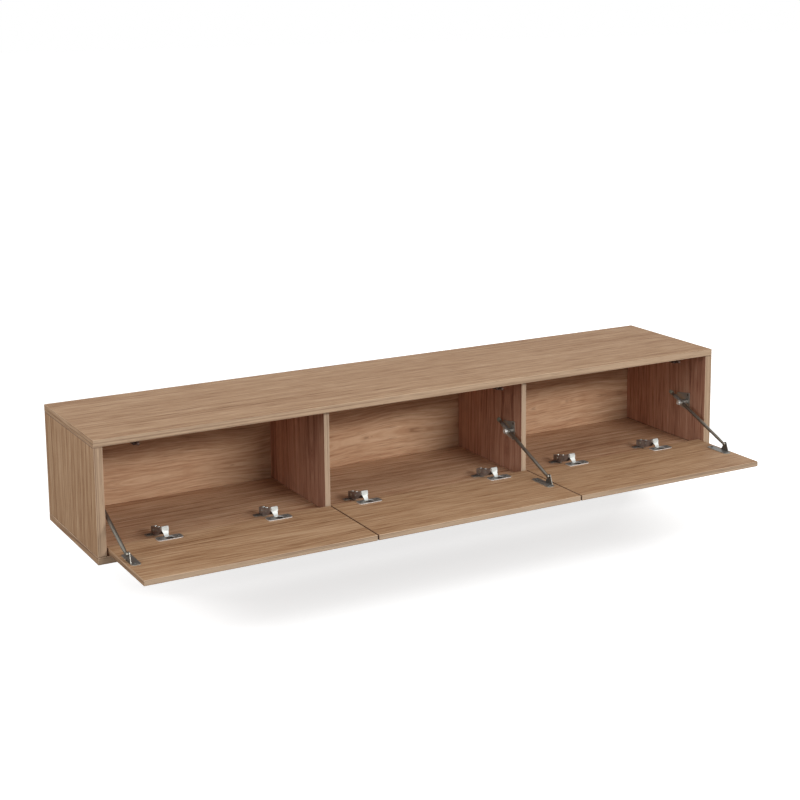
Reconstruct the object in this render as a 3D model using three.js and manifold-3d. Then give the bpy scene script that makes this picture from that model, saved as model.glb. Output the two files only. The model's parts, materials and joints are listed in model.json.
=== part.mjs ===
// A wall-hung media console: a veneered board carcass in three compartments, each closed by a
// drop-down flap on two concealed hinges, with a sliding flap stay and a push latch.
// Lengths are in millimetres. X runs along the cabinet, Y from its front to the wall, Z up.
// Pieces are drawn from the carcass's front lower edge, with the flaps open; the finished group
// is then moved so that the origin lies on the wall, at the middle of the wall rail.

import * as THREE from 'three';
import { mergeVertices } from 'three/addons/utils/BufferGeometryUtils.js';
import Module from 'manifold-3d';

// Carcass
const carcassLength = 1800;
const carcassDepth = 380;
const carcassHeight = 300;
const boardThickness = 18;
const endPanelThickness = 22;
const dividerThickness = 15;
const dividerSetback = 34;
const backThickness = 6;
const rearRecess = 8;
const grooveDepth = 6;
const grooveClearance = 0.3;
const edgeEase = 1.5;
const endEase = 0.8;

// Flaps
const flapThickness = 14;
const flapRecess = 2;
const flapEndGap = 4;
const flapSideGap = 3;
const flapTopGap = 3;
const pivotFromFace = 9;
const pivotFromEdge = 9;
const sweepClearance = 0.5;

// Hinges
const outerHingeSpacing = 283;
const middleHingeSpacing = 386;
const cupFromEdge = 20;
const cupRadius = 13;
const cupDepth = 10.7;
const cupWall = 1.5;
const cupFloor = 1;
const boreClearance = 0.3;
const cupNotchReach = 12.7;
const cupNotchDepth = 3;
const flangeLength = 64;
const flangeWidth = 28;
const flangeThickness = 1.8;
const flangeScrewSpacing = 45;
const hingeScrewRadius = 2.2;
const plateSpan = 50;
const plateWingDepth = 16;
const plateWingCentre = 93;
const plateScrewSpacing = 32;
const plateSheet = 2;
const plateSpineWidth = 15;
const spineWidth = 9.4;
const spineHeight = 18;
const spineFront = 79;
const spineBack = 99;
const spineChamfer = 5;
const armWidth = 13;
const armSheet = 1.5;
const armSideShift = 2.5;
const armPinSetback = 25.6;
const armPinRise = 36.5;
const armNoseRadius = 3.5;
const armNoseTop = Math.PI / 3;
const armNoseFoot = 1.4 * Math.PI;
const armKnee = 50;
const armKneeRise = 30;
const armKneeLength = 8;
const armKneeDrop = 4;
const armBack = 101;
const armBackRise = 19;
const armHeel = 77;
const armHeelRise = 3;
const armThroat = 44;
const armThroatRise = 14;
const pinRadius = 2;
const pinClearance = 0.3;
const linkLength = 25;
const linkSheet = 1.6;
const linkGap = 0.7;
const linkSideGap = 0.5;
const linkTailWidth = 11;
const linkCrankStart = 4;
const linkCrankEnd = 10;
const linkTaperEnd = 20;
const linkTipChamfer = 2.5;
const linkHead = 1;
const linkEarRadius = 5;
const linkEarEnd = 10;
const linkTipDepth = 0.5;

// Flap stays
const stayPivotSetback = 77;
const stayPivotRise = 116;
const stayEarFromEdge = 133;
const stayEarHeight = 21;
const leftRodOffset = 8.4;
const middleRodOffset = 13;
const rightRodOffset = 20.7;
const rodRadius = 4;
const rodTail = 57;
const rodCapRadius = 5.6;
const rodCapLength = 11;
const rodEyeRadius = 4.8;
const rodEyeWidth = 5;
const sleeveRadius = 5.8;
const sleeveClearance = 0.5;
const sleeveFront = 34;
const sleeveBack = 8;
const hubRadius = 7;
const hubClearance = 0.3;
const knobRadius = 6;
const knobLength = 7;
const knobNeckRadius = 4;
const knobNeckLength = 1.5;
const stayPlateThickness = 2;
const panelPlateLength = 58;
const panelPlateFrontHeight = 54;
const panelPlateBackHeight = 34;
const panelPlateForward = 11;
const panelPlateCorner = 5;
const panelPlateScrewInset = 7;
const flapPlateLength = 82;
const flapPlateWidth = 22;
const flapPlateForward = 26;
const flapPlateScrewInset = 11;
const stayEarSheet = 2;
const stayEarGap = 1.9;
const stayEarRadius = 5;
const stayEarFrontFoot = 9;
const stayEarBackFoot = 17;
const stayPinRadius = 2.2;
const stayPinHeadRadius = 3.8;
const stayPinHeadLength = 1.5;
const stayScrewRadius = 2;

// Push latches
const latchFromFlapEnd = 84;
const latchLength = 52;
const latchWidth = 16;
const latchHeight = 14;
const latchSetback = 22;
const latchEase = 2;
const latchTabLength = 12;
const latchTabThickness = 3;
const latchScrewRadius = 1.8;
const plungerRadius = 4;
const plungerClearance = 0.3;
const plungerLength = 40;
const plungerTravel = 12;
const plungerNose = 2;
const plungerRise = 6;
const plungerBoreDepth = 41;
const flapTouchGap = 0.3;

// Wall rail and cabinet rail, two hooked steel strips
const railLength = 1400;
const railSheet = 1.8;
const wallRailLip = 15;
const cabinetRailLip = 13;
const railJog = 6;
const railFoot = 24;
const railSeat = 0.6;
const railLipGap = 0.8;
const railHookGap = 0.6;
const railDrop = 14;
const railScrewPitch = 280;
const railScrewCount = 4;
const railScrewRadius = 3;

// Facets
const easeSteps = 2;
const arcSteps = 6;
const roundSides = 20;
const pinSides = 12;
const screwSides = 8;
const overrun = 2;

// Places worked out from the sizes above
const halfLength = carcassLength / 2;
const innerHalfLength = halfLength - endPanelThickness;
const floorLevel = boardThickness;
const ceilingLevel = carcassHeight - boardThickness;
const backFront = carcassDepth - rearRecess - backThickness;
const backRear = carcassDepth - rearRecess;

const cornerSweep = Math.hypot(pivotFromFace, pivotFromEdge);
const flapBottom = floorLevel + cornerSweep - pivotFromEdge + sweepClearance;
const flapHeight = ceilingLevel - flapTopGap - flapBottom;
const flapPivot = { y: flapRecess + pivotFromFace, z: flapBottom + pivotFromEdge };
const flapBackEdge = flapPivot.y + pivotFromEdge;
const flapUnderside = flapPivot.z - pivotFromFace;
const flapTop = flapUnderside + flapThickness;
const closedInnerFace = flapRecess + flapThickness;
const flapSpan = 2 * (innerHalfLength - flapEndGap);
const flapWidth = (flapSpan - 2 * flapSideGap) / 3;
const flapPitch = flapWidth + flapSideGap;
const dividerCentre = flapPitch / 2;

const armPin = { y: armPinSetback, z: floorLevel + armPinRise };
const stayPivot = { y: stayPivotSetback, z: floorLevel + stayPivotRise };
const stayEar = { y: flapBackEdge - stayEarFromEdge, z: flapTop + stayEarHeight };
const railTop = ceilingLevel - railDrop;
const railBase = railTop - 2 * railFoot - 2 * railJog - wallRailLip + railSeat;
const wallRailCentre = railBase + railFoot / 2;

const wasm = await Module();
wasm.setup();

const X = new THREE.Vector3(1, 0, 0);
const Y = new THREE.Vector3(0, 1, 0);
const Z = new THREE.Vector3(0, 0, 1);
const acrossX = new THREE.Matrix4().makeBasis(Y, Z, X);
const acrossY = new THREE.Matrix4().makeBasis(X, Z, Y.clone().negate());

// Materials
function finish(color, roughness, metalness) {
  return new THREE.MeshStandardMaterial({ color, roughness, metalness });
}

const oakVeneer = finish(0xab8e73, 0.6, 0);
const oakInner = finish(0x9c7a5c, 0.6, 0);
const oakFlap = finish(0xa38061, 0.6, 0);
const nickel = finish(0x9aa0a3, 0.35, 1);
const brightNickel = finish(0xd9dcdd, 0.2, 1);
const zincSteel = finish(0x8f9599, 0.45, 1);
const greyPlastic = finish(0x4b4a49, 0.55, 0);

const furniture = new THREE.Group();

function addPiece(name, shape, material) {
  const geometry = shape.isBufferGeometry ? shape : geometryOf(shape);
  const mesh = new THREE.Mesh(geometry, material);
  mesh.name = name;
  furniture.add(mesh);
}

// Solids for joining and cutting
function solidOf(geometry) {
  const bare = geometry.clone();
  bare.deleteAttribute('normal');
  bare.deleteAttribute('uv');
  const merged = mergeVertices(bare);
  const vertProperties = new Float32Array(merged.getAttribute('position').array);
  const triVerts = new Uint32Array(merged.index.array);
  return new wasm.Manifold(new wasm.Mesh({ numProp: 3, vertProperties, triVerts }));
}

function geometryOf(solid) {
  const mesh = solid.getMesh();
  const geometry = new THREE.BufferGeometry();
  geometry.setAttribute('position', new THREE.BufferAttribute(mesh.vertProperties, 3));
  geometry.setIndex(new THREE.BufferAttribute(mesh.triVerts, 1));
  geometry.computeVertexNormals();
  return geometry;
}

function joined(first, ...others) {
  return others.reduce((sum, other) => sum.add(solidOf(other)), solidOf(first));
}

function cut(solid, ...tools) {
  return tools.reduce((rest, tool) => rest.subtract(solidOf(tool)), solid);
}

// Shapes
function roundedRectangle(x0, y0, x1, y1, radius) {
  const shape = new THREE.Shape();
  shape.absarc(x1 - radius, y0 + radius, radius, -Math.PI / 2, 0);
  shape.absarc(x1 - radius, y1 - radius, radius, 0, Math.PI / 2);
  shape.absarc(x0 + radius, y1 - radius, radius, Math.PI / 2, Math.PI);
  shape.absarc(x0 + radius, y0 + radius, radius, Math.PI, 1.5 * Math.PI);
  return shape;
}

function polygon(points) {
  return new THREE.Shape(points.map(([a, b]) => new THREE.Vector2(a, b)));
}

function softPolygon(points, radius) {
  const shape = new THREE.Shape();
  const corners = points.map(([a, b]) => new THREE.Vector2(a, b));
  corners.forEach((corner, i) => {
    const before = corners[(i + corners.length - 1) % corners.length];
    const after = corners[(i + 1) % corners.length];
    const start = before.clone().sub(corner).setLength(radius).add(corner);
    const end = after.clone().sub(corner).setLength(radius).add(corner);
    if (i === 0) shape.moveTo(start.x, start.y);
    else shape.lineTo(start.x, start.y);
    shape.quadraticCurveTo(corner.x, corner.y, end.x, end.y);
  });
  return shape;
}

function roundHole(x, y, radius, sides) {
  const path = new THREE.Path();
  const corners = [];
  for (let i = 0; i < sides; i += 1) {
    const angle = -2 * Math.PI * i / sides;
    corners.push(new THREE.Vector2(x + radius * Math.cos(angle), y + radius * Math.sin(angle)));
  }
  path.setFromPoints(corners);
  return path;
}

function extruded(shape, depth, curveSegments = arcSteps) {
  return new THREE.ExtrudeGeometry(shape, { depth, curveSegments, bevelEnabled: false });
}

// A shape drawn in (y, z), run across X
function prismX(shape, from, to, curveSegments) {
  const geometry = extruded(shape, to - from, curveSegments);
  return geometry.applyMatrix4(acrossX).translate(from, 0, 0);
}

// A shape drawn in (x, y), run up Z
function prismZ(shape, from, to, curveSegments) {
  return extruded(shape, to - from, curveSegments).translate(0, 0, from);
}

// A shape drawn in (x, z), run across Y
function prismY(shape, from, to, curveSegments) {
  return extruded(shape, to - from, curveSegments).applyMatrix4(acrossY).translate(0, to, 0);
}

function block(low, high) {
  const geometry = new THREE.BoxGeometry(high[0] - low[0], high[1] - low[1], high[2] - low[2]);
  const centre = low.map((value, i) => (value + high[i]) / 2);
  return geometry.translate(...centre);
}

function cylinderX(radius, from, to, y, z, sides = roundSides) {
  const geometry = new THREE.CylinderGeometry(radius, radius, to - from, sides);
  return geometry.rotateZ(-Math.PI / 2).translate((from + to) / 2, y, z);
}

function cylinderY(radius, from, to, x, z, sides = roundSides) {
  const geometry = new THREE.CylinderGeometry(radius, radius, to - from, sides);
  return geometry.translate(x, (from + to) / 2, z);
}

function cylinderZ(radius, from, to, x, y, sides = roundSides) {
  const geometry = new THREE.CylinderGeometry(radius, radius, to - from, sides);
  return geometry.rotateX(Math.PI / 2).translate(x, y, (from + to) / 2);
}

// A board with all its edges eased, its long edges along X or Z
function board(low, high, along) {
  const upright = along === 'z';
  const [u, v, w] = upright ? [0, 1, 2] : [1, 2, 0];
  const shape = roundedRectangle(low[u], low[v], high[u], high[v], edgeEase);
  const geometry = new THREE.ExtrudeGeometry(shape, {
    depth: high[w] - low[w] - 2 * endEase,
    curveSegments: easeSteps,
    bevelEnabled: true,
    bevelThickness: endEase,
    bevelSize: endEase,
    bevelOffset: -endEase,
    bevelSegments: 1,
  });
  geometry.translate(0, 0, low[w] + endEase);
  return upright ? geometry : geometry.applyMatrix4(acrossX);
}

// Carcass boards, with a groove for the back panel
function makeCarcass() {
  const grooveFront = backFront - grooveClearance;
  const grooveRear = backRear + grooveClearance;
  const grooveEnd = innerHalfLength + grooveDepth;
  const lower = floorLevel - grooveDepth;
  const upper = ceilingLevel + grooveDepth;
  const floorGroove = block([-grooveEnd, grooveFront, lower], [grooveEnd, grooveRear, floorLevel + overrun]);
  const ceilingGroove = block([-grooveEnd, grooveFront, ceilingLevel - overrun], [grooveEnd, grooveRear, upper]);

  const bottom = board([-halfLength, 0, 0], [halfLength, carcassDepth, boardThickness], 'x');
  const top = board([-halfLength, 0, ceilingLevel], [halfLength, carcassDepth, carcassHeight], 'x');
  addPiece('bottom_panel', cut(solidOf(bottom), floorGroove), oakVeneer);
  addPiece('top_panel', cut(solidOf(top), ceilingGroove), oakVeneer);

  for (const [name, side] of [['left', -1], ['right', 1]]) {
    const faces = [side * innerHalfLength, side * halfLength].sort((a, b) => a - b);
    const groove = [side * (innerHalfLength - overrun), side * grooveEnd].sort((a, b) => a - b);
    const panel = board([faces[0], 0, floorLevel], [faces[1], carcassDepth, ceilingLevel], 'z');
    const slot = block(
      [groove[0], grooveFront, floorLevel - overrun],
      [groove[1], grooveRear, ceilingLevel + overrun],
    );
    addPiece(`${name}_end_panel`, cut(solidOf(panel), slot), oakVeneer);

    const centre = side * dividerCentre;
    const half = dividerThickness / 2;
    const divider = board(
      [centre - half, dividerSetback, floorLevel],
      [centre + half, backFront, ceilingLevel],
      'z',
    );
    addPiece(`${name}_divider`, divider, oakInner);
  }

  const reach = innerHalfLength + grooveDepth - grooveClearance;
  const back = block(
    [-reach, backFront, floorLevel - grooveDepth + grooveClearance],
    [reach, backRear, ceilingLevel + grooveDepth - grooveClearance],
  );
  addPiece('back_panel', back, oakInner);
}

// Two folded steel strips hook into each other behind the back panel
function railProfile(foot, lip, lipLength, start, end) {
  const sheet = Math.sign(lip - foot) * railSheet;
  const rise = Math.sign(end - start);
  return [
    [foot, start],
    [foot, end],
    [lip, end + rise * railJog],
    [lip, end + rise * (railJog + lipLength)],
    [lip + sheet, end + rise * (railJog + lipLength)],
    [lip + sheet, end + rise * railJog],
    [foot + sheet, end],
    [foot + sheet, start],
  ];
}

function makeRail(name, points, footLow, footHigh) {
  const profile = polygon(points);
  const half = railLength / 2;
  const holes = [];
  for (let i = 0; i < railScrewCount; i += 1) {
    const x = (i - (railScrewCount - 1) / 2) * railScrewPitch;
    holes.push(cylinderY(
      railScrewRadius, backRear - overrun, carcassDepth + overrun, x, (footLow + footHigh) / 2, screwSides,
    ));
  }
  addPiece(name, cut(solidOf(prismX(profile, -half, half)), ...holes), zincSteel);
}

function makeRails() {
  const cabinetFoot = railTop - railFoot;
  const cabinetLip = backRear + railLipGap + railSheet + railHookGap;
  makeRail(
    'cabinet_rail',
    railProfile(backRear, cabinetLip, cabinetRailLip, railTop, cabinetFoot),
    cabinetFoot,
    railTop,
  );
  const wallFoot = railBase + railFoot;
  const wallLip = backRear + railLipGap + railSheet;
  makeRail(
    'wall_rail',
    railProfile(carcassDepth, wallLip, wallRailLip, railBase, wallFoot),
    railBase,
    wallFoot,
  );
}

// A flap lies open: its inner face is up and its hinge edge is at the back
function makeFlap(name, centre, hingePlaces) {
  const low = [centre - flapWidth / 2, flapBackEdge - flapHeight, flapUnderside];
  const high = [centre + flapWidth / 2, flapBackEdge, flapTop];
  const bores = hingePlaces.map((x) => cylinderZ(
    cupRadius + boreClearance,
    flapTop - cupDepth - boreClearance,
    flapTop + overrun,
    x,
    flapBackEdge - cupFromEdge,
  ));
  addPiece(name, cut(solidOf(board(low, high, 'x')), ...bores), oakFlap);
}

// The hinge cup with its flange, let into the flap; a notch in its rim lets the link in
function makeCup(name, x) {
  const y = flapBackEdge - cupFromEdge;
  const top = flapTop + flangeThickness;
  const inner = cupRadius - cupWall;
  const outline = roundedRectangle(
    x - flangeLength / 2, y - flangeWidth / 2, x + flangeLength / 2, y + flangeWidth / 2, flangeWidth / 4,
  );
  outline.holes.push(roundHole(x, y, inner, roundSides));
  for (const side of [-1, 1]) {
    outline.holes.push(roundHole(x + side * flangeScrewSpacing / 2, y, hingeScrewRadius, screwSides));
  }
  const flange = prismZ(outline, flapTop, top, easeSteps);
  const profile = [
    [0, flapTop - cupDepth],
    [cupRadius, flapTop - cupDepth],
    [cupRadius, top],
    [inner, top],
    [inner, flapTop - cupDepth + cupFloor],
    [0, flapTop - cupDepth + cupFloor],
  ].map(([r, z]) => new THREE.Vector2(r, z));
  const cup = new THREE.LatheGeometry(profile, roundSides);
  cup.rotateX(Math.PI / 2).rotateZ(Math.PI / 2).translate(x, y, 0);
  const notchCentre = x - armSideShift;
  const notchHalf = linkTailWidth / 2 + linkSideGap;
  const notch = block(
    [notchCentre - notchHalf, y, flapTop - cupNotchDepth],
    [notchCentre + notchHalf, y + cupNotchReach, top + overrun],
  );
  addPiece(name, cut(joined(flange, cup), notch), nickel);
}

// The mounting plate: two screwed wings and a spine that the arm straddles
function makeMountingPlate(name, x) {
  const top = floorLevel + plateSheet;
  const wings = roundedRectangle(
    x - plateSpan / 2,
    plateWingCentre - plateWingDepth / 2,
    x + plateSpan / 2,
    plateWingCentre + plateWingDepth / 2,
    plateWingDepth / 4,
  );
  for (const side of [-1, 1]) {
    wings.holes.push(roundHole(x + side * plateScrewSpacing / 2, plateWingCentre, hingeScrewRadius, screwSides));
  }
  const sole = roundedRectangle(
    x - plateSpineWidth / 2, spineFront, x + plateSpineWidth / 2, spineBack, plateSpineWidth / 4,
  );
  const crown = floorLevel + spineHeight;
  const spine = polygon([
    [spineFront, floorLevel],
    [spineBack, floorLevel],
    [spineBack, crown - spineChamfer],
    [spineBack - spineChamfer, crown],
    [spineFront + spineChamfer, crown],
    [spineFront, crown - spineChamfer],
  ]);
  addPiece(name, joined(
    prismZ(wings, floorLevel, top, easeSteps),
    prismZ(sole, floorLevel, top, easeSteps),
    prismX(spine, x - spineWidth / 2, x + spineWidth / 2),
  ), nickel);
}

// The arm: a channel that rises from the mounting plate to the link pin
function armOutline(drop) {
  const shape = new THREE.Shape();
  const level = (rise) => floorLevel + rise - drop;
  shape.moveTo(armBack, level(armHeelRise));
  shape.lineTo(armBack, level(armBackRise));
  shape.lineTo(armKnee + armKneeLength / 2, level(armKneeRise) - armKneeDrop / 2);
  shape.lineTo(armKnee - armKneeLength / 2, level(armKneeRise) + armKneeDrop / 2);
  shape.absarc(armPin.y, armPin.z - drop, armNoseRadius, armNoseTop, armNoseFoot);
  shape.lineTo(armThroat, level(armThroatRise));
  shape.lineTo(armHeel, level(armHeelRise));
  return shape;
}

function makeArm(name, x) {
  const outer = armWidth / 2;
  const inner = outer - armSheet;
  const body = prismX(armOutline(0), x - outer, x + outer);
  const channel = prismX(armOutline(armSheet), x - inner, x + inner);
  const pinHole = cylinderX(
    pinRadius + pinClearance, x - outer - overrun, x + outer + overrun, armPin.y, armPin.z, pinSides,
  );
  addPiece(name, cut(solidOf(body), channel, pinHole), nickel);
}

// The link swings on the arm pin and reaches into the cup
const linkDrop = armPin.z - (flapTop - linkTipDepth);
const linkAngle = Math.asin(linkDrop / linkLength);

function linkPoint([along, out]) {
  const y = armPin.y - along * Math.cos(linkAngle) - out * Math.sin(linkAngle);
  const z = armPin.z - along * Math.sin(linkAngle) + out * Math.cos(linkAngle);
  return [y, z];
}

const ontoLink = new THREE.Matrix4().makeBasis(
  new THREE.Vector3(0, -Math.cos(linkAngle), -Math.sin(linkAngle)),
  X,
  new THREE.Vector3(0, -Math.sin(linkAngle), Math.cos(linkAngle)),
);

function makeLink(name, x) {
  const inside = armNoseRadius + linkGap;
  const outside = inside + linkSheet;
  const half = linkSheet / 2;
  const headHalf = armWidth / 2 + linkSideGap + linkSheet;
  const tailHalf = linkTailWidth / 2;
  const web = polygon([
    [-linkHead, outside],
    [linkCrankStart, outside],
    [linkCrankEnd, half],
    [linkLength + overrun, half],
    [linkLength + overrun, -half],
    [linkCrankEnd, -half],
    [linkCrankStart, inside],
    [-linkHead, inside],
  ].map(linkPoint));
  const outline = polygon([
    [-linkEarRadius, headHalf],
    [linkCrankStart, headHalf],
    [linkTaperEnd, tailHalf],
    [linkLength - linkTipChamfer, tailHalf],
    [linkLength, tailHalf - linkTipChamfer],
    [linkLength, linkTipChamfer - tailHalf],
    [linkLength - linkTipChamfer, -tailHalf],
    [linkTaperEnd, -tailHalf],
    [linkCrankStart, -headHalf],
    [-linkEarRadius, -headHalf],
  ]);
  const taper = extruded(outline, 2 * linkLength).translate(0, 0, -linkLength);
  taper.applyMatrix4(ontoLink).translate(x, armPin.y, armPin.z);
  const ear = polygon([
    [-linkHead, outside],
    [linkCrankStart, outside],
    [linkEarEnd, half],
    [linkEarRadius, -linkEarRadius / 2],
    [0, -linkEarRadius],
    [-linkHead, -linkHead],
  ].map(linkPoint));
  const shaped = solidOf(prismX(web, x - headHalf, x + headHalf)).intersect(solidOf(taper));
  const ears = joined(
    prismX(ear, x - headHalf, x - headHalf + linkSheet),
    prismX(ear, x + headHalf - linkSheet, x + headHalf),
    cylinderX(pinRadius, x - headHalf, x + headHalf, armPin.y, armPin.z, pinSides),
  );
  addPiece(name, shaped.add(ears), brightNickel);
}

// The arms are set a little to the left of their cups
function makeHinge(name, x) {
  const armX = x - armSideShift;
  makeMountingPlate(`${name}_mounting_plate`, armX);
  makeArm(`${name}_arm`, armX);
  makeLink(`${name}_link`, armX);
  makeCup(`${name}_cup`, x);
}

// The stay: a rod pinned to the flap slides through a sleeve that swivels on the panel
const stayRun = { y: stayPivot.y - stayEar.y, z: stayPivot.z - stayEar.z };
const stayReach = Math.hypot(stayRun.y, stayRun.z);
const stayAngle = Math.atan2(stayRun.z, stayRun.y);
const rodLength = stayReach + rodTail;

// Turns a piece made along Y from the flap ear onto the rod's line
function ontoRod(geometry, x) {
  return geometry.rotateX(stayAngle).translate(x, stayEar.y, stayEar.z);
}

function revolvedAlongY(points) {
  const profile = points.map(([r, y]) => new THREE.Vector2(r, y));
  return new THREE.LatheGeometry(profile, pinSides);
}

function makeStay(name, panelFace, rodSide, rodOffset, plateSide) {
  const rodX = panelFace + rodSide * rodOffset;
  makeStayRod(`${name}_rod`, rodX);
  makeStaySleeve(name, rodX, panelFace, rodSide);
  makePanelBracket(`${name}_panel_bracket`, rodX, panelFace, rodSide);
  makeFlapBracket(`${name}_flap_bracket`, rodX, plateSide);
}

function makeStayRod(name, rodX) {
  const capStart = rodLength - rodCapLength;
  const round = (rodCapRadius - rodRadius) / 2;
  const rod = ontoRod(revolvedAlongY([
    [0, 0],
    [rodRadius, 0],
    [rodRadius, capStart],
    [rodCapRadius, capStart + round],
    [rodCapRadius, rodLength - 2 * round],
    [rodRadius, rodLength],
    [0, rodLength],
  ]), rodX);
  const half = rodEyeWidth / 2;
  const headAt = rodX + half + stayEarGap + stayEarSheet + hubClearance;
  const eye = cylinderX(rodEyeRadius, rodX - half, rodX + half, stayEar.y, stayEar.z, pinSides);
  const pin = cylinderX(stayPinRadius, rodX, headAt + stayPinHeadLength, stayEar.y, stayEar.z, pinSides);
  const pinHead = cylinderX(
    stayPinHeadRadius, headAt, headAt + stayPinHeadLength, stayEar.y, stayEar.z, pinSides,
  );
  addPiece(name, joined(rod, eye, pin, pinHead), nickel);
}

function makeStaySleeve(name, rodX, panelFace, rodSide) {
  const tube = ontoRod(revolvedAlongY([
    [0, stayReach - sleeveFront],
    [sleeveRadius, stayReach - sleeveFront],
    [sleeveRadius, stayReach + sleeveBack],
    [0, stayReach + sleeveBack],
  ]), rodX);
  const bore = ontoRod(revolvedAlongY([
    [0, stayReach - sleeveFront - overrun],
    [rodRadius + sleeveClearance, stayReach - sleeveFront - overrun],
    [rodRadius + sleeveClearance, stayReach + sleeveBack + overrun],
    [0, stayReach + sleeveBack + overrun],
  ]), rodX);
  const hubEnd = rodX - rodSide * (sleeveRadius + hubClearance);
  const neckEnd = rodX + rodSide * (sleeveRadius + knobNeckLength);
  const between = (radius, a, b) => cylinderX(
    radius, Math.min(a, b), Math.max(a, b), stayPivot.y, stayPivot.z, pinSides,
  );
  const sleeve = joined(tube, between(hubRadius, hubEnd, rodX), between(knobNeckRadius, rodX, neckEnd));
  addPiece(`${name}_sleeve`, cut(sleeve, bore), nickel);

  const knobEnd = neckEnd + rodSide * knobLength;
  const taper = knobLength / 4;
  const knob = revolvedAlongY([
    [0, 0],
    [knobNeckRadius, 0],
    [knobRadius, taper],
    [knobRadius, knobLength - taper],
    [knobNeckRadius, knobLength],
    [0, knobLength],
  ]);
  knob.rotateZ(-Math.PI / 2).translate(Math.min(neckEnd, knobEnd), stayPivot.y, stayPivot.z);
  addPiece(`${name}_knob`, knob, brightNickel);
}

function makePanelBracket(name, rodX, panelFace, rodSide) {
  const front = stayPivot.y - panelPlateForward;
  const back = front + panelPlateLength;
  const frontHalf = panelPlateFrontHeight / 2;
  const backHalf = panelPlateBackHeight / 2;
  const outline = softPolygon([
    [front, stayPivot.z - frontHalf],
    [back, stayPivot.z - backHalf],
    [back, stayPivot.z + backHalf],
    [front, stayPivot.z + frontHalf],
  ], panelPlateCorner);
  const inset = panelPlateScrewInset;
  const screws = [
    [front + inset, stayPivot.z - frontHalf + inset],
    [front + inset, stayPivot.z + frontHalf - inset],
    [back - inset, stayPivot.z],
  ];
  for (const [y, z] of screws) {
    outline.holes.push(roundHole(y, z, stayScrewRadius, screwSides));
  }
  const plateFace = panelFace + rodSide * stayPlateThickness;
  const plate = prismX(outline, Math.min(panelFace, plateFace), Math.max(panelFace, plateFace), easeSteps);
  const bossEnd = rodX - rodSide * (sleeveRadius + 2 * hubClearance);
  const boss = cylinderX(
    hubRadius, Math.min(panelFace, bossEnd), Math.max(panelFace, bossEnd), stayPivot.y, stayPivot.z, pinSides,
  );
  addPiece(name, joined(plate, boss), nickel);
}

function makeFlapBracket(name, rodX, plateSide) {
  const earFace = rodX + rodEyeWidth / 2 + stayEarGap;
  const earBack = earFace + stayEarSheet;
  const plateLow = plateSide > 0 ? earFace : earBack - flapPlateWidth;
  const plateHigh = plateLow + flapPlateWidth;
  const front = stayEar.y - flapPlateForward;
  const back = front + flapPlateLength;
  const top = flapTop + stayPlateThickness;
  const outline = roundedRectangle(plateLow, front, plateHigh, back, flapPlateWidth / 3);
  const middle = (plateLow + plateHigh) / 2;
  for (const y of [front + flapPlateScrewInset, back - flapPlateScrewInset]) {
    outline.holes.push(roundHole(middle, y, stayScrewRadius, screwSides));
  }
  const ear = new THREE.Shape();
  ear.moveTo(stayEar.y + stayEarBackFoot, flapTop);
  ear.absarc(stayEar.y, stayEar.z, stayEarRadius, 0, Math.PI);
  ear.lineTo(stayEar.y - stayEarFrontFoot, flapTop);
  ear.holes.push(roundHole(stayEar.y, stayEar.z, stayPinRadius + pinClearance, pinSides));
  addPiece(name, joined(
    prismZ(outline, flapTop, top, arcSteps / 2),
    prismX(ear, earFace, earBack),
  ), nickel);
}

// The push latch under the top panel: a spring plunger in a housing
function makeLatch(name, x) {
  const rear = latchSetback + latchLength;
  const foot = ceilingLevel - latchHeight;
  const plungerZ = foot + plungerRise;
  const section = roundedRectangle(x - latchWidth / 2, foot, x + latchWidth / 2, ceilingLevel, latchEase);
  const housing = prismY(section, latchSetback, rear, easeSteps);
  const tabOutline = roundedRectangle(
    x - latchWidth / 2, rear - latchEase, x + latchWidth / 2, rear + latchTabLength, latchEase,
  );
  tabOutline.holes.push(roundHole(x, rear + latchTabLength / 2, latchScrewRadius, screwSides));
  const tab = prismZ(tabOutline, ceilingLevel - latchTabThickness, ceilingLevel, easeSteps);
  const bore = cylinderY(
    plungerRadius + plungerClearance,
    latchSetback - overrun,
    latchSetback + plungerBoreDepth,
    x,
    plungerZ,
    pinSides,
  );
  addPiece(`${name}_housing`, cut(joined(housing, tab), bore), greyPlastic);

  const tip = closedInnerFace + flapTouchGap - plungerTravel;
  const plunger = revolvedAlongY([
    [0, 0],
    [plungerRadius - plungerNose, 0],
    [plungerRadius, plungerNose],
    [plungerRadius, plungerLength],
    [0, plungerLength],
  ]);
  addPiece(`${name}_plunger`, plunger.translate(x, tip, plungerZ), greyPlastic);
}

makeCarcass();
makeRails();

const bays = [
  {
    name: 'left',
    centre: -flapPitch,
    hingeSpacing: outerHingeSpacing,
    latchSide: -1,
    stay: { panelFace: -innerHalfLength, rodSide: 1, rodOffset: leftRodOffset, plateSide: 1 },
  },
  {
    name: 'middle',
    centre: 0,
    hingeSpacing: middleHingeSpacing,
    latchSide: 1,
    stay: {
      panelFace: dividerCentre - dividerThickness / 2,
      rodSide: -1,
      rodOffset: middleRodOffset,
      plateSide: -1,
    },
  },
  {
    name: 'right',
    centre: flapPitch,
    hingeSpacing: outerHingeSpacing,
    latchSide: 1,
    stay: { panelFace: innerHalfLength, rodSide: -1, rodOffset: rightRodOffset, plateSide: -1 },
  },
];

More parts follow.
